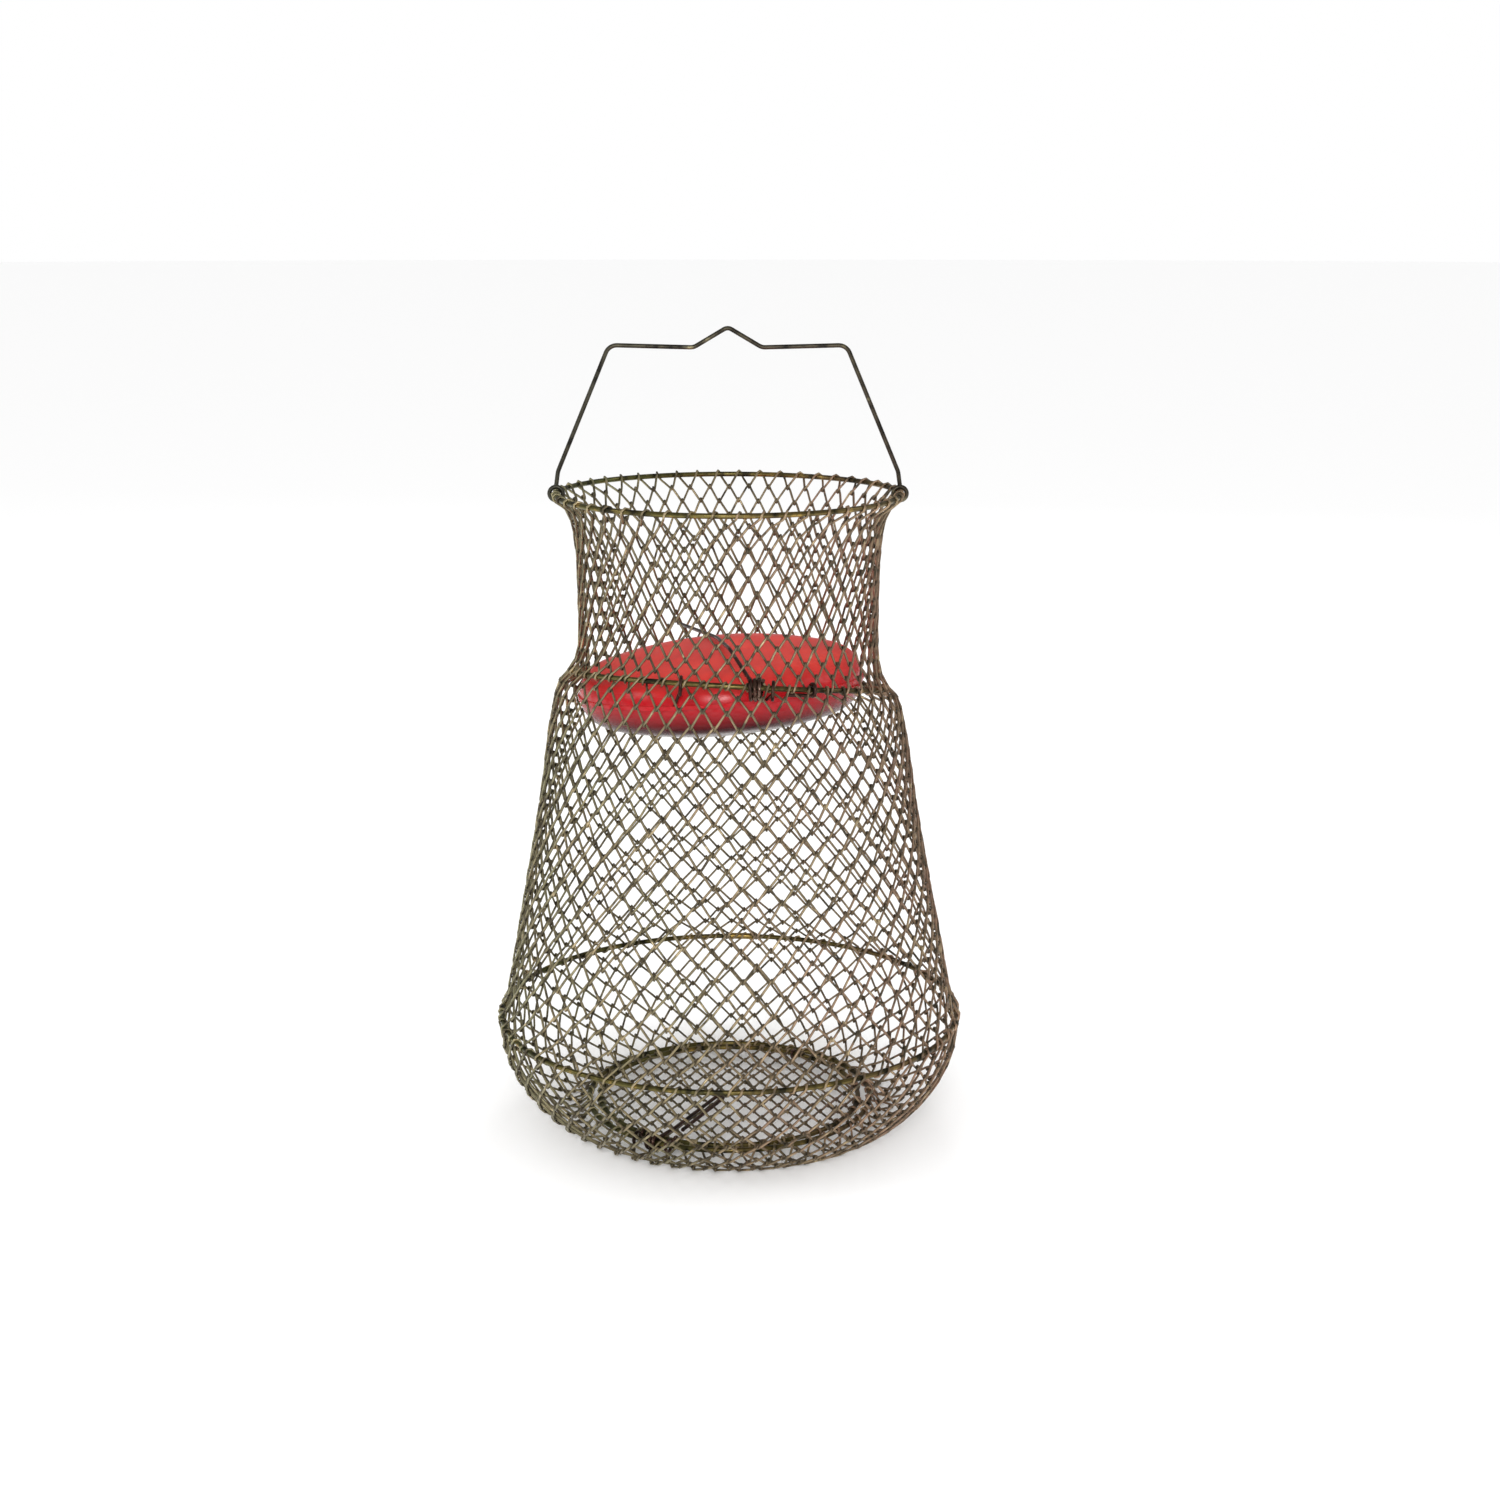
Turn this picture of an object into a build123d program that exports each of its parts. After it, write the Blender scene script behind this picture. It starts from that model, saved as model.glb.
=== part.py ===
from build123d import *

import math
import os

# Collapsible floating fish basket: wire hoops joined by diamond wire netting,
# with a red float as the sprung throat lid and a sprung release door below.
# Millimetres, +Z up, origin on the floor under the middle of the basket.
# +X is to the right and -Y is the front, where the lid is hinged.

# Hoops: radius to the wire's centre, height of the hoop's plane
HOOP_WIRE = 1.8
MOUTH_R, MOUTH_Z = 117.5, 447.0
THROAT_R, THROAT_Z = 109.5, 317.0
THROAT_PITCH, THROAT_ROLL = -9.5, 3.2   # the throat hoop hangs with its front raised
BELLY_R, BELLY_Z = 163.0, 76.0
BASE_R, BASE_Z = 102.0, 9.0
DOOR_R = 93.5
SLEEVE_WALL, SLEEVE_ARC = 0.6, 6.0

# Netting: plain thin walls on the netting's own surface
NET_WALL = 0.6
NET_GAP = 1.0            # between a netting wall's edge and its hoop

# Bail handle
BAIL_WIRE = 1.5
BAIL_EYE_R = 4.6         # the eye closed round the mouth hoop, to the wire's centre
BAIL_FOOT_Z = 462.0      # where the upright foot leans in
BAIL_SHOULDER_X, BAIL_SHOULDER_Z = 80.0, 547.0
BAIL_DIP_X, BAIL_PEAK_Z = 23.0, 559.0

# Float lid: two moulded shells with a welded rim
FLOAT_R, FLOAT_HALF, FLOAT_EDGE_R = 99.0, 32.5, 22.0
FLOAT_WALL = 2.0
FLOAT_LIP, FLOAT_LIP_HALF = 1.2, 1.3
FLOAT_PLACE = (-5.0, 0.0, 314.0)
FLOAT_PITCH, FLOAT_ROLL = -3.5, -4.5

# Hinges: wire loops round a hoop, with a torsion spring between them
LOOP_WIRE = 1.1
SPRING_WIRE = 1.3
LID_SPRING_R = 6.4       # to the wire's centre
DOOR_SPRING_R = 4.5
SPRING_TURNS, SPRING_PITCH = 3, 2.9
KNOB_EXTRA = 0.2
LID_AXIS_Y, LID_AXIS_Z = -107.5, -1.5   # in the throat hoop's own plane
LID_LOOP_X, LID_LOOP_R = 30.0, 5.9
LID_SPRING_X = 19.0
LID_ARM_BENDS = [40, 120]   # bend radii of the lid spring's arm
LEG_HOOK_X, LEG_LENGTH = 56.0, 18.0
LEG_TURN = 28.0
STOP_X = -4.0            # the lid's stop, at the float's back edge
STOP_GAP = 0.5           # between a stop's tongue and the hoop it bears on
STOP_REACH = 5.0         # how far the tongue passes its hoop
HOOK_PLAY = 0.4          # between a hook or tongue and the hoop it meets
DOOR_HINGE_TURN = -31.0  # the door's hinge is this far round from the front
DOOR_AXIS_Y = -101.6
DOOR_LOOP_X, DOOR_LOOP_R = 13.0, 4.2
DOOR_CLAMP_R = 2.9
DOOR_ARM_R = 1.3
DOOR_ARM_HALF = 2.9      # half the width of the arm's hairpin
DOOR_ARM_START_Y, DOOR_ARM_END_Y = -81.0, -16.0


def throat_frame():
    """The throat hoop's plane: its front raised and its right side a little lower."""
    return Location((0, 0, THROAT_Z), (THROAT_PITCH, THROAT_ROLL, 0))


def float_frame():
    return Location(FLOAT_PLACE, (FLOAT_PITCH, FLOAT_ROLL, 0))


def door_frame():
    return Location((0, 0, BASE_Z), (0, 0, DOOR_HINGE_TURN))


def wire_along(path, radius):
    """Round wire swept along a path."""
    start = Plane(origin=path @ 0, z_dir=path % 0)
    return sweep(start * Circle(radius), path=path, transition=Transition.ROUND)


def bent_wire(points, bends, radius):
    """Round wire in straight runs, with a bend radius at each inner corner."""
    return wire_along(FilletPolyline(*points, radius=bends), radius)


def loop_round_x(place, radius, wire):
    """A closed wire loop whose hole faces along X."""
    return Location(place, (0, 90, 0)) * Torus(radius, wire)


def hoop(radius, height=0.0):
    return Pos(0, 0, height) * Torus(radius, HOOP_WIRE)


def net_wall(profile, foot=None):
    """A thin wall of revolution whose outer face passes through the (radius, z) profile.

    With a foot radius, the wall ends flat on the floor and runs in to that radius.
    """
    points = [Vector(r, 0, z) for r, z in profile]
    outer = Spline(*points)
    if foot:
        outer = Spline(*points, tangents=[outer % 0, (-1, 0, 0)])
    count = len(points) - 1
    inset = []
    for i in range(count + 1):
        run = outer % (i / count)
        inset.append(outer @ (i / count) + Vector(run.Z, 0, -run.X) * NET_WALL)
    inner = Spline(*inset, tangents=[outer % 0, outer % 1])
    end, inner_end, foot_edges = outer @ 1, inner @ 1, []
    if foot:
        end, inner_end = Vector(foot, 0, 0), Vector(foot, 0, NET_WALL)
        foot_edges = [Line(outer @ 1, end).edge(), Line(inner_end, inner @ 1).edge()]
    closing = [Line(end, inner_end).edge(), Line(inner @ 0, outer @ 0).edge()]
    face = Face(Wire([outer.edge(), inner.edge()] + closing + foot_edges))
    return revolve(face, Axis.Z, 360)


def neck_netting():
    return net_wall([(109.5, 438), (105.6, 424), (103.2, 400), (102.8, 375), (104.0, 350)])


def body_netting():
    edge = BELLY_Z + HOOP_WIRE + NET_GAP
    return net_wall([
        (115.2, 311), (121.5, 294), (125.5, 272), (131.0, 234), (139.5, 187),
        (147.5, 145), (157.0, 97), (162.6, edge),
    ])


def bottom_netting():
    edge = BELLY_Z - HOOP_WIRE - NET_GAP
    return net_wall([
        (163.4, edge), (162.0, 57), (154.5, 38), (142.5, 21), (129.0, 8),
        (117.0, 0),
    ], foot=108.5)


def door_netting():
    """A flat disc of netting stretched inside the door's hoop."""
    disc = Cylinder(DOOR_R - HOOP_WIRE - NET_GAP, NET_WALL)
    return Pos(0, 0, BASE_Z) * disc


def bail_handle():
    """One wire: an eye at each end, two legs leaning in, and a peaked grip."""
    half = [
        (MOUTH_R, 0, MOUTH_Z + BAIL_EYE_R),
        (MOUTH_R - 1.5, 0, BAIL_FOOT_Z),
        (BAIL_SHOULDER_X, 0, BAIL_SHOULDER_Z),
        (BAIL_DIP_X, 0, BAIL_SHOULDER_Z - 1.5),
    ]
    peak = [(0, 0, BAIL_PEAK_Z)]
    left = [(-x, y, z) for x, y, z in half]
    points = half + peak + left[::-1]
    bends = [12, 8, 8, 5, 8, 8, 12]
    grip = bent_wire(points, bends, BAIL_WIRE)
    eyes = [
        Location((side * MOUTH_R, 0, MOUTH_Z), (90, 0, 0)) * Torus(BAIL_EYE_R, BAIL_WIRE)
        for side in (-1, 1)
    ]
    return grip + eyes[0] + eyes[1]


def dome(inset):
    """Half of the float's outline, from the rim up to the crown, inset by a wall.

    A small arc at the rim runs into the wide arc of the crown.
    """
    edge_x = FLOAT_R - FLOAT_EDGE_R
    crown_r = (edge_x**2 + FLOAT_HALF**2 - FLOAT_EDGE_R**2) / (2 * (FLOAT_HALF - FLOAT_EDGE_R))
    crown_z = FLOAT_HALF - crown_r
    meet = math.atan2(-crown_z, edge_x)

    def on_edge(turn):
        r = FLOAT_EDGE_R - inset
        return (edge_x + r * math.cos(turn), 0, r * math.sin(turn))

    def on_crown(turn):
        r = crown_r - inset
        return (r * math.cos(turn), 0, crown_z + r * math.sin(turn))

    top = math.pi / 2
    edge = ThreePointArc(on_edge(0), on_edge(meet / 2), on_edge(meet))
    crown = ThreePointArc(on_edge(meet), on_crown((meet + top) / 2), (0, 0, FLOAT_HALF - inset))
    return [edge, crown]


def float_shell():
    """One moulded half of the float, with a flat lip where the halves are welded."""
    outer, inner = dome(0.0), dome(FLOAT_WALL)
    top = Line(outer[1] @ 1, inner[1] @ 1)
    rim = Line(outer[0] @ 0, inner[0] @ 0)
    wall = Face(Wire([line.edge() for line in outer + inner + [top, rim]]))
    shell = revolve(wall, Axis.Z, 360)
    lip_r = FLOAT_R + FLOAT_LIP
    lip = Cylinder(lip_r, FLOAT_LIP_HALF) - Cylinder(FLOAT_R - FLOAT_WALL / 2, FLOAT_LIP_HALF)
    return shell + Pos(0, 0, FLOAT_LIP_HALF / 2) * lip


def float_upper_shell():
    return float_frame() * float_shell()


def float_lower_shell():
    return float_frame() * Rot(180, 0, 0) * float_shell()


def coil(place, radius):
    """A close torsion coil round X, from its left end's top to its right end's top."""
    length = SPRING_TURNS * SPRING_PITCH
    spine = Helix(SPRING_PITCH, length, radius)
    start = Plane(origin=spine @ 0, z_dir=spine % 0)
    body = sweep(start * Circle(SPRING_WIRE), path=spine)
    turn = Location(place, (0, 90, 0)) * Location((0, 0, -length / 2), (0, 0, 180))
    return turn * body, turn * Vertex(*(spine @ 0)), turn * Vertex(*(spine @ 1))


def knob(place, radius):
    """A rounded end, a little fatter than its wire."""
    return Pos(*place) * Sphere(radius + KNOB_EXTRA)


def lid_spring():
    """The lid's torsion spring: a coil on the hoop and a long arm over the float."""
    body, left, _ = coil((LID_SPRING_X, LID_AXIS_Y, LID_AXIS_Z), LID_SPRING_R)
    hoop_plane, top = throat_frame(), float_frame()
    start = (hoop_plane * left).center()
    over = FLOAT_HALF + SPRING_WIRE
    rest = [(9, -66, over - 1.0), (0, -16, over + 1.0), (-29, 74, over + 2.5)]
    route = [start] + [(top * Vertex(*point)).center() for point in rest]
    arm = bent_wire(route, LID_ARM_BENDS, SPRING_WIRE)
    return hoop_plane * body + arm + knob(start, SPRING_WIRE) + knob(route[-1], SPRING_WIRE)


def lid_spring_leg():
    """The spring's short leg, which runs along the hoop and hooks round it."""
    place = Location((LEG_HOOK_X, -math.sqrt(THROAT_R**2 - LEG_HOOK_X**2), 0), (0, 0, LEG_TURN))
    hook_r = HOOP_WIRE + SPRING_WIRE + KNOB_EXTRA + HOOK_PLAY
    hook = loop_round_x((0, 0, 0), hook_r, SPRING_WIRE + KNOB_EXTRA)
    start = (-LEG_LENGTH, 0.6, -hook_r)
    leg = wire_along(Line(start, (0.4, 0, -hook_r)), SPRING_WIRE)
    return throat_frame() * place * (hook + leg + knob(start, SPRING_WIRE))


def lid_hinge_loop(side):
    """A loop round the throat hoop with a shank moulded into the float's lip."""
    place = throat_frame()
    loop = place * loop_round_x((side * LID_LOOP_X, LID_AXIS_Y, LID_AXIS_Z), LID_LOOP_R, LOOP_WIRE)
    foot = place * Vertex(side * LID_LOOP_X, LID_AXIS_Y + LID_LOOP_R - 0.6, LID_AXIS_Z - 2.4)
    rim_y = -math.sqrt((FLOAT_R - 1.5) ** 2 - LID_LOOP_X**2)
    socket = float_frame() * Vertex(side * LID_LOOP_X, rim_y, 0.0)
    path = Line(foot.center(), socket.center())
    shank = wire_along(path, LOOP_WIRE)
    return loop + shank


def lid_stop():
    """A tongue from the float's back edge to under the hoop: the lid closes against it."""
    place = throat_frame()
    under = HOOP_WIRE + LOOP_WIRE + STOP_GAP
    tip = (place * Vertex(STOP_X, THROAT_R + STOP_REACH, -under)).center()
    rest = (place * Vertex(STOP_X, THROAT_R - 3.0, -under)).center()
    root = (float_frame() * Vertex(0, FLOAT_R - 1.0, -1.6)).center()
    return bent_wire([root, rest, tip], [4], LOOP_WIRE)


def door_hinge_loop(side):
    """A link: a loose loop round the base hoop and a clamp round the door's hoop."""
    x = side * DOOR_LOOP_X
    loop = loop_round_x((x, DOOR_AXIS_Y, 0), DOOR_LOOP_R, LOOP_WIRE)
    hoop_y = -math.sqrt(DOOR_R**2 - x**2)
    clamp = loop_round_x((x, hoop_y, 0), DOOR_CLAMP_R, LOOP_WIRE)
    return door_frame() * (loop + clamp)


def door_spring():
    """The door's torsion spring: a coil on the base hoop and a hairpin arm over the netting."""
    body, _, right = coil((1.0, DOOR_AXIS_Y, 0), DOOR_SPRING_R)
    start = right.center()
    lift = HOOP_WIRE + DOOR_ARM_R + 0.5
    near, far, end = start.X, start.X + 2 * DOOR_ARM_HALF, start.X - 3
    route = [
        start,
        (near, DOOR_ARM_START_Y - 1, lift + 0.4),
        (end - DOOR_ARM_HALF, DOOR_ARM_END_Y, lift),
        (end + DOOR_ARM_HALF, DOOR_ARM_END_Y, lift),
        (far, DOOR_ARM_START_Y + 1, lift),
    ]
    arm = bent_wire(route, [30, 2.6, 2.6], DOOR_ARM_R)
    return door_frame() * (body + arm + knob(start, DOOR_ARM_R) + knob(route[-1], DOOR_ARM_R))


def door_stop():
    """A tongue on the door's far side that bears up under the base hoop."""
    under = HOOP_WIRE + LOOP_WIRE + 0.4
    tongue = wire_along(Line((0, DOOR_R, -under), (0, BASE_R + 3.2, -under)), LOOP_WIRE)
    clamp = loop_round_x((0, DOOR_R, 0), DOOR_CLAMP_R, LOOP_WIRE)
    return door_frame() * (tongue + clamp)


def belly_sleeve():
    """The crimped sleeve that joins the belly hoop's two ends, at the back."""
    ring = Circle(HOOP_WIRE + SLEEVE_WALL) - Circle(HOOP_WIRE)
    across = Plane(origin=(BELLY_R, 0, 0), x_dir=(1, 0, 0), z_dir=(0, -1, 0))
    sleeve = revolve(across * ring, Axis.Z, SLEEVE_ARC)
    return Location((0, 0, BELLY_Z), (0, 0, 90 - SLEEVE_ARC)) * sleeve


def parts():
    return {
        "mouth_hoop": hoop(MOUTH_R, MOUTH_Z),
        "throat_hoop": throat_frame() * hoop(THROAT_R),
        "belly_hoop": hoop(BELLY_R, BELLY_Z),
        "belly_sleeve": belly_sleeve(),
        "base_hoop": hoop(BASE_R, BASE_Z),
        "door_hoop": hoop(DOOR_R, BASE_Z),
        "neck_netting": neck_netting(),
        "body_netting": body_netting(),
        "bottom_netting": bottom_netting(),
        "door_netting": door_netting(),
        "bail_handle": bail_handle(),
        "float_upper_shell": float_upper_shell(),
        "float_lower_shell": float_lower_shell(),
        "lid_spring": lid_spring(),
        "lid_spring_leg": lid_spring_leg(),
        "lid_hinge_loop_left": lid_hinge_loop(-1),
        "lid_hinge_loop_right": lid_hinge_loop(1),
        "lid_stop": lid_stop(),
        "door_hinge_loop_left": door_hinge_loop(-1),
        "door_hinge_loop_right": door_hinge_loop(1),
        "door_spring": door_spring(),
        "door_stop": door_stop(),
    }


os.makedirs("parts", exist_ok=True)
for name, shape in parts().items():
    export_step(shape, f"parts/{name}.step")
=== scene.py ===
import math
import random

import bpy
from mathutils import Matrix, Vector
from mathutils.kdtree import KDTree


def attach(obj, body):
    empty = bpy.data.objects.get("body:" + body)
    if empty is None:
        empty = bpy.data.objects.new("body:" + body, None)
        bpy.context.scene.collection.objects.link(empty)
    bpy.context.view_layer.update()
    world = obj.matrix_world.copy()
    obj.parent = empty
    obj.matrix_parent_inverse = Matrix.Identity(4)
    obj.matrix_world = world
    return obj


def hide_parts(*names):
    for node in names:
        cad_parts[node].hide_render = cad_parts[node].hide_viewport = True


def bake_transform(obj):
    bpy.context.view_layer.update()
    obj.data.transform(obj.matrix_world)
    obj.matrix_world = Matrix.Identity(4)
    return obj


# A collapsible floating fish basket: wire hoops joined by diamond wire netting, with a red float
# as the sprung throat lid, a sprung release door in the bottom and a peaked wire bail.
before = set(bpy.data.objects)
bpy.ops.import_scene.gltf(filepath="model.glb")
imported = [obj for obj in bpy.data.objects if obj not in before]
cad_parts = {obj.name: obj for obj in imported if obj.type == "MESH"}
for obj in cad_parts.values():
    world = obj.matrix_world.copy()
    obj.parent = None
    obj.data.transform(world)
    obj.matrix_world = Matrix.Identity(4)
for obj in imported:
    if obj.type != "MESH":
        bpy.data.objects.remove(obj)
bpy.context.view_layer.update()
bpy.ops.object.select_all(action="DESELECT")
MM = 0.001


# Camera: a fairly long lens 1.5 m in front of the basket, a little above it and looking down on it.
LOOK_DOWN = 13.5                # degrees below level
camera = bpy.data.objects.new("camera", bpy.data.cameras.new("camera"))
bpy.context.scene.collection.objects.link(camera)
camera.data.sensor_width = 36.0
camera.data.lens = 53.76
camera.location = (0.015, -1.530, 0.634)
camera.rotation_euler = (math.radians(90.0 - LOOK_DOWN), 0.0, 0.0)
bpy.context.scene.camera = camera


def colour(code):
    """A linear colour from its sRGB hex code."""
    parts = [int(code[i:i + 2], 16) / 255 for i in (1, 3, 5)]
    return tuple(c / 12.92 if c <= 0.04045 else ((c + 0.055) / 1.055) ** 2.4 for c in parts) + (1.0,)


def add_node(tree, kind, settings):
    """Adds a node: each setting is one of its sockets, by name or number, or one of its own values."""
    made = tree.nodes.new(kind)
    for key, value in settings.items():
        if isinstance(key, str) and key not in made.inputs:
            setattr(made, key, value)
        elif isinstance(value, bpy.types.NodeSocket):
            tree.links.new(value, made.inputs[key])
        else:
            made.inputs[key].default_value = value
    return made


def new_material(name):
    """An empty node material, its Principled shader and its Object coordinates."""
    made = bpy.data.materials.new(name)
    made.use_nodes = True
    tree = made.node_tree
    place = add_node(tree, "ShaderNodeTexCoord", {}).outputs["Object"]
    return made, tree, tree.nodes["Principled BSDF"], place


def ramp(tree, factor, stops):
    """A colour ramp through (place, hex code) stops."""
    made = add_node(tree, "ShaderNodeValToRGB", {"Fac": factor})
    bands = made.color_ramp.elements
    while len(bands) < len(stops):
        bands.new(0.5)
    for band, (place, code) in zip(bands, stops):
        band.position = place
        band.color = colour(code)
    return made.outputs["Color"]


# Floor and light: a white matte floor in a plain white room, with a soft lamp in front and above,
# weaker ones to the sides, and one behind that the shiny pieces don't mirror.
FLOOR_R = 30.0
bpy.ops.mesh.primitive_circle_add(vertices=96, radius=FLOOR_R, fill_type="NGON", location=(0, 0, 0))
floor = bpy.context.object
floor.name = "floor"
paper, tree, shader, place = new_material("white paper floor")
shader.inputs["Base Color"].default_value = colour("#FEFEFE")
shader.inputs["Roughness"].default_value = 0.9
shader.inputs["Specular IOR Level"].default_value = 0.1
floor.data.materials.append(paper)

world = bpy.data.worlds.new("white room")
bpy.context.scene.world = world
world.use_nodes = True
tree = world.node_tree
SEEN_ROOM, MIRRORED_ROOM = 1.0, 0.3     # the room's brightness to the eye, and in a reflection
mirrored = add_node(tree, "ShaderNodeLightPath", {}).outputs["Is Glossy Ray"]
level = add_node(tree, "ShaderNodeMapRange", {
    "Value": mirrored, "To Min": SEEN_ROOM, "To Max": MIRRORED_ROOM})
tree.nodes["Background"].inputs["Color"].default_value = (1.0, 1.0, 1.0, 1.0)
tree.links.new(level.outputs["Result"], tree.nodes["Background"].inputs["Strength"])
bpy.context.scene.view_settings.view_transform = "Standard"


def soft_lamp(name, spot, aim, size, power):
    """A square soft lamp at a spot, aimed at a point."""
    lamp = bpy.data.objects.new(name, bpy.data.lights.new(name, "AREA"))
    bpy.context.scene.collection.objects.link(lamp)
    lamp.data.size = size
    lamp.data.energy = power
    lamp.location = spot
    lamp.rotation_euler = (Vector(aim) - Vector(spot)).to_track_quat("-Z", "Y").to_euler()
    return lamp


MIDDLE = (0.0, 0.0, 0.25)
soft_lamp("front lamp", (-0.12, -2.2, 1.15), MIDDLE, 0.6, 17.0)
soft_lamp("left lamp", (-2.2, -0.6, 1.3), MIDDLE, 0.8, 7.0)
soft_lamp("right lamp", (2.2, 0.2, 1.4), MIDDLE, 0.8, 5.0)
back_lamp = soft_lamp("back lamp", (0.3, 2.3, 1.8), MIDDLE, 0.6, 9.0)
back_lamp.visible_glossy = False


# Wire finishes. All the wire is drawn mild steel, zinc plated and yellow passivated, which leaves a
# satin olive-gold skin that drifts to green, gold and a pinkish brown, with dull darker patches.
DRIFT_MM, PATCH_MM, GRAIN_MM = 60.0, 9.0, 0.8
GRAIN_DEPTH = 0.08 * MM
BASKET_R = 0.17


def plated_wire(name, left, middle, right, dull, bright, roughness, metallic):
    """Plated wire whose tone drifts across the basket, with dull patches and bright rubbed spots."""
    made, tree, shader, place = new_material(name)
    drift = add_node(tree, "ShaderNodeTexNoise", {
        "Vector": place, "Scale": 1 / (DRIFT_MM * MM), "Detail": 2.0})
    patch = add_node(tree, "ShaderNodeTexNoise", {
        "Vector": place, "Scale": 1 / (PATCH_MM * MM), "Detail": 4.0})
    grain = add_node(tree, "ShaderNodeTexNoise", {
        "Vector": place, "Scale": 1 / (GRAIN_MM * MM), "Detail": 2.0})
    across = add_node(tree, "ShaderNodeSeparateXYZ", {"Vector": place}).outputs["X"]
    side = add_node(tree, "ShaderNodeMapRange", {
        "Value": across, "From Min": -BASKET_R, "From Max": BASKET_R})
    mixed = add_node(tree, "ShaderNodeMix", {
        0: 0.55, 2: side.outputs["Result"], 3: drift.outputs["Fac"]})
    tone = ramp(tree, mixed.outputs[0], ((0.28, left), (0.5, middle), (0.74, right)))
    wear = ramp(tree, patch.outputs["Fac"], ((0.36, "#FFFFFF"), (0.52, "#000000")))
    rubbed = ramp(tree, patch.outputs["Fac"], ((0.6, "#000000"), (0.74, "#FFFFFF")))
    linked = add_node(tree, "ShaderNodeAttribute", {"attribute_name": "link"}).outputs["Fac"]
    grime = add_node(tree, "ShaderNodeMath", {"operation": "MAXIMUM", 0: wear, 1: linked})
    dulled = add_node(tree, "ShaderNodeMix", {
        "data_type": "RGBA", 0: grime.outputs[0], 6: tone, 7: colour(dull)})
    shown = add_node(tree, "ShaderNodeMix", {
        "data_type": "RGBA", 0: rubbed, 6: dulled.outputs[2], 7: colour(bright)})
    satin = add_node(tree, "ShaderNodeMapRange", {
        "Value": patch.outputs["Fac"], "From Min": 0.3, "From Max": 0.7,
        "To Min": roughness + 0.12, "To Max": roughness - 0.06})
    bump = add_node(tree, "ShaderNodeBump", {
        "Height": grain.outputs["Fac"], "Strength": 0.25, "Distance": GRAIN_DEPTH})
    tree.links.new(shown.outputs[2], shader.inputs["Base Color"])
    tree.links.new(satin.outputs["Result"], shader.inputs["Roughness"])
    tree.links.new(bump.outputs["Normal"], shader.inputs["Normal"])
    shader.inputs["Metallic"].default_value = metallic
    return made


def dress(node, material):
    """Gives a CAD node its material."""
    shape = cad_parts[node]
    shape.data.materials.clear()
    shape.data.materials.append(material)


# Hoops: thick round wire rolled into rings, heavier than all the rest, and olive-gold. The belly
# hoop's ends meet in a crimped brass sleeve at the back.
hoop_plating = plated_wire(
    "yellow zinc plated hoop wire", "#5A5D36", "#706439", "#69553D", "#302D1F", "#AE9150", 0.32, 0.92)
for node in ("mouth_hoop", "throat_hoop", "belly_hoop", "base_hoop", "door_hoop"):
    dress(node, hoop_plating)
sleeve_plating = plated_wire(
    "brass sleeve", "#8A7740", "#A98C4C", "#9C7F48", "#54492C", "#D8BE7C", 0.36, 0.9)
dress("belly_sleeve", sleeve_plating)


# Netting: rows of thin wire, each wound as a flat spiral whose bends hook through the bends of the
# next row, so every crossing is a small link. The end rows are wound round the hoops.
NET_WIRE = 0.84                 # the wire's radius
CELLS = 48                      # diamonds in one round
HALF_SPIRAL, LINK_REACH = 0.95, 1.45    # half the spiral's thickness, and how far a bend passes its node
BEND_DRIFT, WRAP_DRIFT = 0.35, 1.6      # half the spread of a bend's two legs
HOOP_WIRE = 1.8
WRAP = HOOP_WIRE + NET_WIRE
BEND_TURNS = (0, 60, 120, 180)
LEG_SHARES, LEG_BOW = (0.18, 0.82), 0.25    # where a leg bows between two bends, and by how much
LINK_DARK, LINK_CLEAR = 1.6, 3.2            # grime fills a link to here, and is gone by here
UNEVEN = 0.45                   # how far a node strays from its even place
THROAT_R = 109.5
TURN_STEP, SHARE_STEP = 0.01, 0.01      # how far the surface is felt to each side for its slope
throat_tilt = Matrix.Rotation(math.radians(-9.5), 3, "X") @ Matrix.Rotation(math.radians(3.2), 3, "Y")

net_plating = plated_wire(
    "yellow zinc plated netting wire", "#94906E", "#A49272", "#AD8A75", "#574F40", "#CDB992", 0.42, 0.78)


def along(outline, share):
    """The (radius, height) that is a share of the way along a smooth outline."""
    runs = [math.dist(a, b) for a, b in zip(outline, outline[1:])]
    left, i = share * sum(runs), 0
    while i < len(runs) - 1 and left > runs[i]:
        left -= runs[i]
        i += 1
    t = left / runs[i]
    last = len(outline) - 1
    a, b, c, d = (Vector(outline[min(max(k, 0), last)]) for k in (i - 1, i, i + 1, i + 2))
    square, cube = 2 * a - 5 * b + 4 * c - d, 3 * b - a - 3 * c + d
    return 0.5 * (2 * b + (c - a) * t + square * t**2 + cube * t**3)


def throat_shift(turn):
    """How far the tilted throat hoop stands from a level one, at an angle round it."""
    level = Vector((math.cos(turn), math.sin(turn), 0)) * THROAT_R
    return throat_tilt @ level - level


def bend(middle, across, up, out, half, reach, drift, rising):
    """The points of one bend of a spiral row: over a node if it is rising, and else under it."""
    points = []
    for degrees in BEND_TURNS:
        turn = math.radians(degrees)
        side = math.cos(turn)
        lift = reach - half + half * math.sin(turn)
        if rising:
            points.append(middle + out * half * side + up * lift - across * drift * side)
        else:
            points.append(middle - out * half * side - up * lift - across * drift * side)
    return points


def with_legs(bends, chance):
    """One row's points: its bends in order, with the bowed legs between them."""
    points = []
    for now, following in zip(bends, bends[1:] + bends[:1]):
        points += now
        for share in LEG_SHARES:
            bow = Vector([chance.uniform(-LEG_BOW, LEG_BOW) for _ in range(3)])
            points.append(now[-1].lerp(following[0], share) + bow)
    return points


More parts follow.
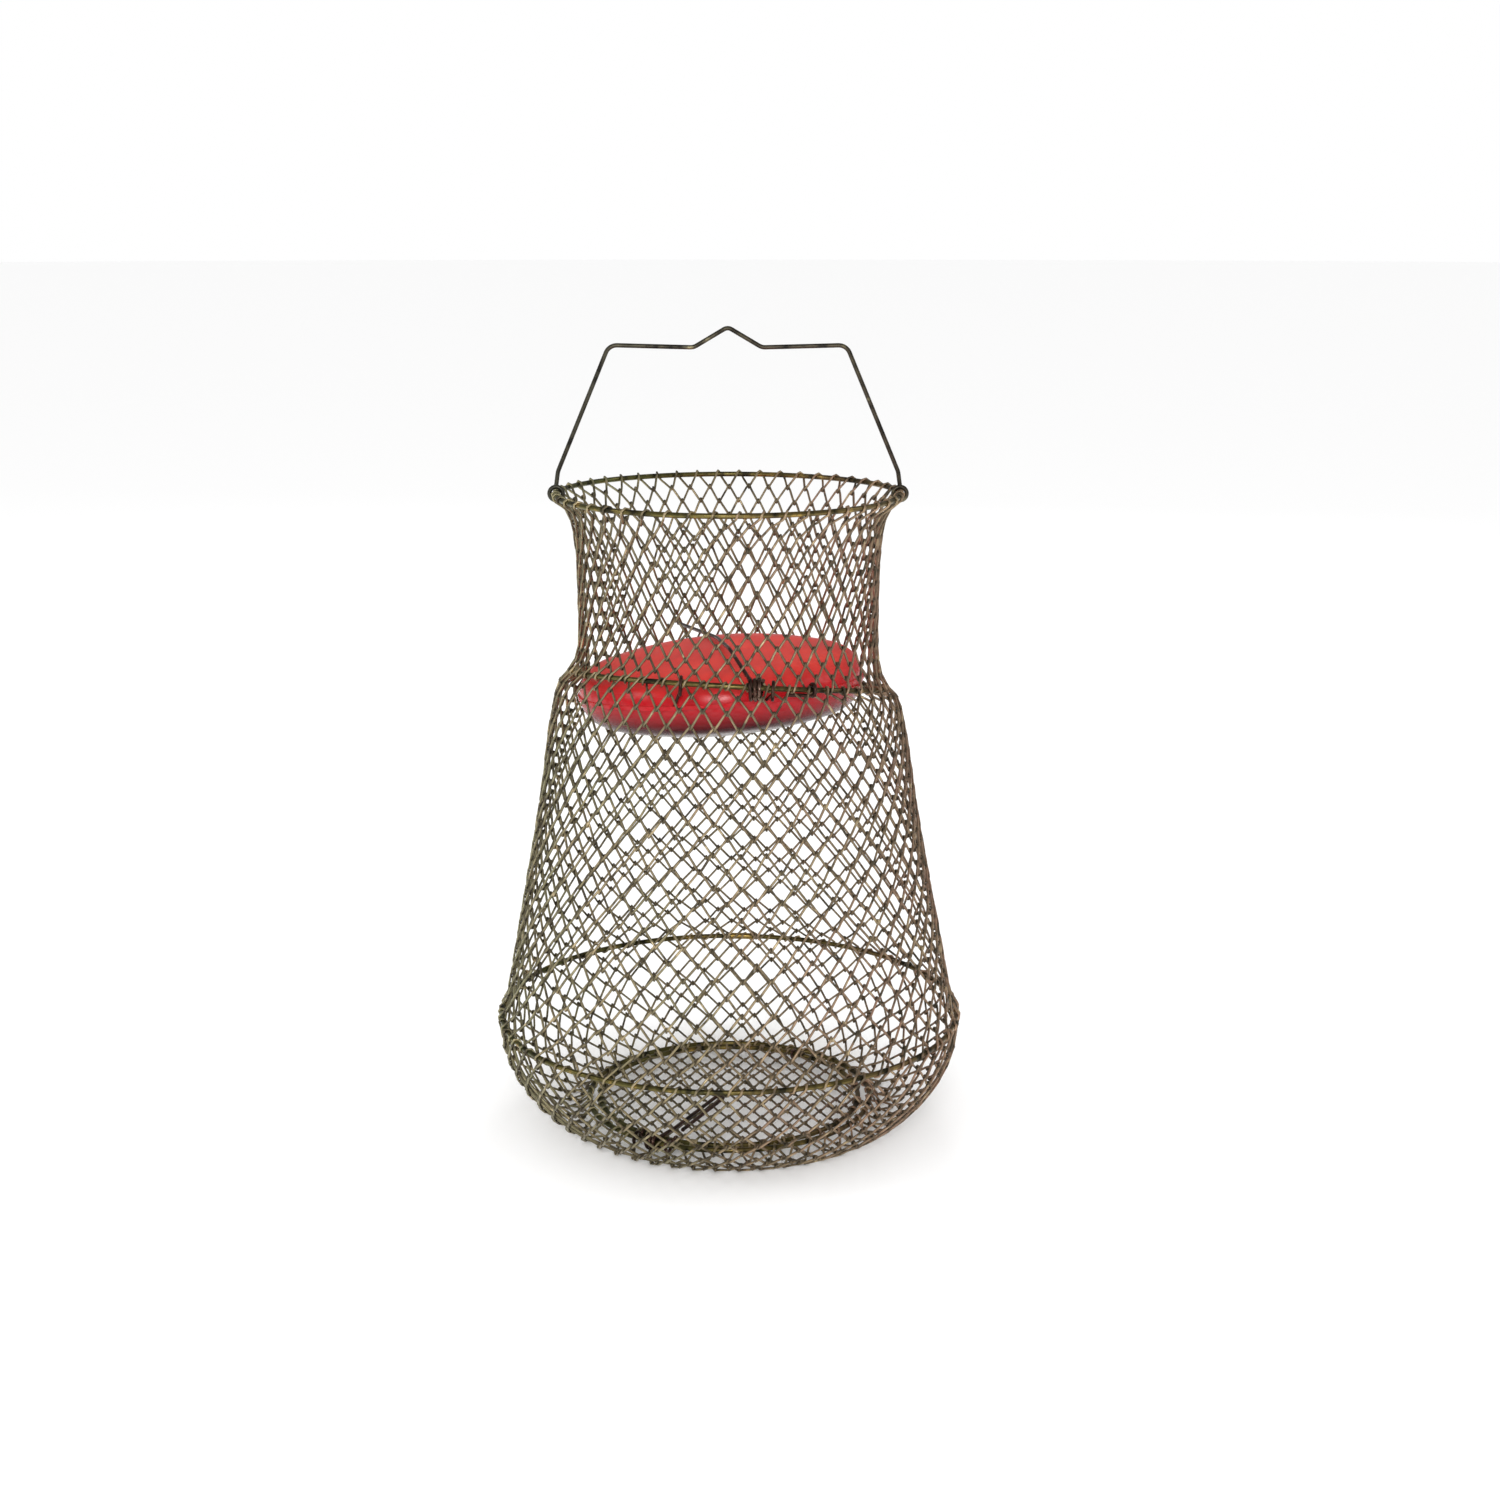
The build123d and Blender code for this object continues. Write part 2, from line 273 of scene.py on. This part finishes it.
def wire_mesh(name, wires, links, closed):
    """A mesh of round wires through lists of points in millimetres, with its links marked."""
    curve = bpy.data.curves.new(name, "CURVE")
    curve.dimensions = "3D"
    curve.bevel_depth = NET_WIRE * MM
    curve.bevel_resolution = 1
    curve.use_fill_caps = True
    for points in wires:
        spline = curve.splines.new("POLY")
        spline.points.add(len(points) - 1)
        for point, place in zip(spline.points, points):
            point.co = (*(place * MM), 1.0)
        spline.use_cyclic_u = closed
    piece = bpy.data.objects.new(name, curve)
    bpy.context.scene.collection.objects.link(piece)
    bpy.ops.object.select_all(action="DESELECT")
    piece.select_set(True)
    bpy.context.view_layer.objects.active = piece
    bpy.ops.object.convert(target="MESH")
    bpy.ops.object.shade_smooth()
    piece = bpy.context.object
    piece.data.materials.clear()
    piece.data.materials.append(net_plating)
    tree = KDTree(len(links))
    for index, link in enumerate(links):
        tree.insert(link * MM, index)
    tree.balance()
    marks = piece.data.attributes.new("link", "FLOAT", "POINT")
    for vertex, mark in zip(piece.data.vertices, marks.data):
        away = tree.find(vertex.co)[2] / MM
        mark.value = min(max((LINK_CLEAR - away) / (LINK_CLEAR - LINK_DARK), 0.0), 1.0)
    return piece


def round_net(name, outline, rows, lean, offset, seed):
    """A tube of netting from the outline's first hoop to its last, as one mesh of wires.

    The outline is a list of (radius, height) in millimetres. lean(share) says how much of the throat
    hoop's tilt the netting takes, from 0 to 1. The offset turns the netting by a part of a diamond.
    """
    chance = random.Random(seed)
    step = math.tau / CELLS

    def surface(turn, share):
        radius, height = along(outline, share)
        level = Vector((radius * math.cos(turn), radius * math.sin(turn), height))
        return level + throat_shift(turn) * lean(share)

    nodes = []
    for row in range(rows + 1):
        share = row / rows
        ring = []
        for cell in range(CELLS):
            turn = (cell + offset + row / 2) * step
            middle = surface(turn, share)
            ahead, behind = surface(turn + TURN_STEP, share), surface(turn - TURN_STEP, share)
            above = surface(turn, min(share + SHARE_STEP, 1))
            below = surface(turn, max(share - SHARE_STEP, 0))
            across = (ahead - behind).normalized()
            up = (above - below).normalized()
            out = across.cross(up).normalized()
            if 0 < row < rows:
                middle += across * chance.uniform(-UNEVEN, UNEVEN) + up * chance.uniform(-UNEVEN, UNEVEN)
                ring.append((middle, across, up, out, HALF_SPIRAL, LINK_REACH, BEND_DRIFT))
            else:
                ring.append((middle, across, up, out, WRAP, WRAP, WRAP_DRIFT))
        nodes.append(ring)
    wires = []
    for low_ring, high_ring in zip(nodes, nodes[1:]):
        bends = []
        for low_node, high_node in zip(low_ring, high_ring):
            bends += [bend(*low_node, rising=False), bend(*high_node, rising=True)]
        wires.append(with_legs(bends, chance))
    links = [node[0] for ring in nodes[1:-1] for node in ring]
    return wire_mesh(name, wires, links, True)


# Neck netting: long narrow diamonds drawn in round the neck and flared out to the mouth hoop. It
# hangs from the mouth hoop and holds up the throat hoop.
neck = round_net(
    "neck_netting_wires",
    [(109.5, 317), (104.5, 330), (102.5, 347), (102.5, 380), (103.5, 410), (106, 428), (110.5, 439),
     (117.5, 447)],
    rows=13, lean=lambda share: (1 - share) ** 1.5, offset=0.0, seed=3)
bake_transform(neck)
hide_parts("neck_netting")


# Body netting: rolls out over the throat hoop in a round shoulder and widens down to the belly
# hoop, where its diamonds are nearly square.
body = round_net(
    "body_netting_wires",
    [(163, 76), (159.5, 84), (156, 100), (147.5, 145), (139.5, 187), (131, 234), (125.5, 272), (121.5, 294),
     (119, 306), (115, 314), (109.5, 317)],
    rows=26, lean=lambda share: share, offset=0.0, seed=5)
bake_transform(body)
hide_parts("body_netting")


# Bottom netting: a bowl that curves in under the basket from the belly hoop, rests on the ground
# in a ring, and turns up to the base hoop.
bottom = round_net(
    "bottom_netting_wires",
    [(102, 9), (108, 3.2), (117, 2.0), (129, 8.5), (142.5, 21), (154.5, 38), (162, 57), (163, 76)],
    rows=12, lean=lambda share: 0.0, offset=0.5, seed=7)
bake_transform(bottom)
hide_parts("bottom_netting")


# Door netting: a flat piece of the same spiral netting, cut round and hooked over the door's hoop.
DOOR_R, DOOR_Z = 93.5, 9.0
DOOR_CELL, DOOR_ROW = 12.0, 11.0
SHORTEST = 12                   # a stretch with no more points than this is a scrap, and is left out
HOOK_TURNS = (180, 135, 90, 45, 0, -45)


def door_netting():
    """The door's netting, row by row across the hoop, each wire cut where it meets the hoop."""
    chance = random.Random(11)
    rows, cells = int(DOOR_R / DOOR_ROW) + 1, int(DOOR_R / DOOR_CELL) + 2
    across, up, out = Vector((1, 0, 0)), Vector((0, 1, 0)), Vector((0, 0, 1))

    def link(row, cell):
        stray = Vector((chance.uniform(-UNEVEN, UNEVEN), chance.uniform(-UNEVEN, UNEVEN), 0))
        return Vector(((cell + row % 2 / 2) * DOOR_CELL, row * DOOR_ROW, DOOR_Z)) + stray

    nodes = {}
    for row in range(-rows, rows + 1):
        for cell in range(-cells, cells + 2):
            nodes[row, cell] = link(row, cell)
    wires = []
    for row in range(-rows, rows):
        bends = []
        for cell in range(-cells, cells + 1):
            for level, rising in ((row, False), (row + 1, True)):
                middle = nodes[level, cell + (rising and row % 2)]
                bends.append(bend(middle, across, up, out, HALF_SPIRAL, LINK_REACH, BEND_DRIFT, rising))
        wires += cut_round(with_legs(bends, chance))
    return wire_mesh("door_netting_wires", wires, list(nodes.values()), False)


def cut_round(points):
    """The stretches of a wire inside the door's hoop, each end hooked round the hoop."""
    stretches, now = [], []
    for before, point in zip([None] + points, points):
        inside = point.xy.length < DOOR_R - WRAP
        if inside and not now and before is not None:
            now = hook(before, point)[::-1]
        if inside:
            now.append(point)
        elif now:
            stretches.append(now + hook(point, before))
            now = []
    return [stretch for stretch in stretches if len(stretch) > SHORTEST]


def hook(outside, inside):
    """The end of a wire that reaches the hoop between two points and turns round it."""
    share = (DOOR_R - inside.xy.length) / max(outside.xy.length - inside.xy.length, 1e-6)
    out = inside.lerp(outside, share).xy.normalized().to_3d()
    points = []
    for degrees in HOOK_TURNS:
        turn = math.radians(degrees)
        rise = Vector((0, 0, DOOR_Z + WRAP * math.sin(turn)))
        points.append(out * (DOOR_R + WRAP * math.cos(turn)) + rise)
    return points


door = door_netting()
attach(door, "door")
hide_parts("door_netting")


# Bail: one length of 3 mm wire, bent to a peaked grip and closed into an eye round the mouth hoop
# at each end. Its plating is greyer and worn by the hand.
bail_plating = plated_wire(
    "worn zinc plated bail wire", "#45443B", "#4B4638", "#4A4139", "#24221E", "#857D60", 0.36, 0.85)
dress("bail_handle", bail_plating)


# Springs and hinge wires: oiled spring steel, dark brown, with bright spots where rubbing has
# polished it.
spring_steel = plated_wire(
    "oil tempered spring wire", "#4A342B", "#503A30", "#533831", "#241A16", "#A98F80", 0.28, 0.85)
for node in ("lid_spring", "lid_spring_leg", "lid_hinge_loop_left", "lid_hinge_loop_right", "lid_stop",
             "door_spring", "door_stop", "door_hinge_loop_left", "door_hinge_loop_right"):
    dress(node, spring_steel)


# Float: two blow moulded shells of red polyethylene, welded at the rim. The skin is glossy with a faint
# orange peel and scuffed by the netting.
# Upward faces are painted a paler red in blotches, and made a little rougher, as painted light; downward
# faces are painted darker as painted shade.
PEEL_MM, TONE_AND_TOP_LIGHT_MM, SCUFF_MM = 1.6, 28.0, 3.5
PEEL_DEPTH = 0.2 * MM
red_plastic, tree, shader, place = new_material("moulded red polyethylene")
peel = add_node(tree, "ShaderNodeTexNoise", {
    "Vector": place, "Scale": 1 / (PEEL_MM * MM), "Detail": 2.0})
# Blotch noise: it varies the red's tone at random, and it also places the blotches of painted light on the
# top faces.
tone_and_top_light_noise = add_node(tree, "ShaderNodeTexNoise", {
    "Vector": place, "Scale": 1 / (TONE_AND_TOP_LIGHT_MM * MM), "Detail": 4.0})
stretched = add_node(tree, "ShaderNodeMapping", {
    "Vector": place, "Rotation": (0, 0, 0.6), "Scale": (1.0, 0.12, 1.0)})
scuff = add_node(tree, "ShaderNodeTexNoise", {
    "Vector": stretched.outputs["Vector"], "Scale": 1 / (SCUFF_MM * MM), "Detail": 5.0, "Roughness": 0.7})
facing = add_node(tree, "ShaderNodeNewGeometry", {}).outputs["Normal"]
upward = add_node(tree, "ShaderNodeSeparateXYZ", {"Vector": facing}).outputs["Z"]
# Painted light: a mask of the upward faces, which take a paler red as if lit from above.
painted_light_top_mask = add_node(tree, "ShaderNodeMapRange", {
    "Value": upward, "From Min": 0.2, "From Max": 0.9, "To Min": 0.0, "To Max": 1.0})
# Painted shade: a mask of the downward faces, which take a dark red.
painted_shade_under_mask = add_node(tree, "ShaderNodeMapRange", {
    "Value": upward, "From Min": 0.0, "From Max": -0.75})
painted_top_light = add_node(tree, "ShaderNodeMath", {
    "operation": "MULTIPLY", 0: painted_light_top_mask.outputs["Result"], 1: tone_and_top_light_noise.outputs["Fac"]})
fresh = ramp(tree, tone_and_top_light_noise.outputs["Fac"], ((0.3, "#B80F1C"), (0.7, "#D01823")))
# The red darkens to #420510 on downward faces: painted shade.
red = add_node(tree, "ShaderNodeMix", {
    "data_type": "RGBA", 0: painted_shade_under_mask.outputs["Result"], 6: fresh, 7: colour("#420510")}).outputs[2]
# The paler red #F04A38 mixed onto the upward faces is painted light.
red_with_painted_top_light = add_node(tree, "ShaderNodeMix", {
    "data_type": "RGBA", 0: painted_top_light.outputs["Value"], 6: red, 7: colour("#F04A38")})
scuffed = ramp(tree, scuff.outputs["Fac"], ((0.66, "#000000"), (0.78, "#FFFFFF")))
marks = add_node(tree, "ShaderNodeMix", {0: 0.25, 2: 0.0, 3: scuffed})
skin = add_node(tree, "ShaderNodeMix", {
    "data_type": "RGBA", 0: marks.outputs[0], 6: red_with_painted_top_light.outputs[2], 7: colour("#E08A80")})
gloss = add_node(tree, "ShaderNodeMapRange", {
    "Value": painted_top_light.outputs["Value"], "From Min": 0.0, "From Max": 0.6, "To Min": 0.22, "To Max": 0.5})
bump = add_node(tree, "ShaderNodeBump", {
    "Height": peel.outputs["Fac"], "Strength": 0.18, "Distance": PEEL_DEPTH})
tree.links.new(skin.outputs[2], shader.inputs["Base Color"])
tree.links.new(gloss.outputs["Result"], shader.inputs["Roughness"])
tree.links.new(bump.outputs["Normal"], shader.inputs["Normal"])
shader.inputs["IOR"].default_value = 1.5
shader.inputs["Specular IOR Level"].default_value = 0.35
shader.inputs["Coat Weight"].default_value = 0.05
shader.inputs["Coat Roughness"].default_value = 0.12
for node in ("float_upper_shell", "float_lower_shell"):
    dress(node, red_plastic)
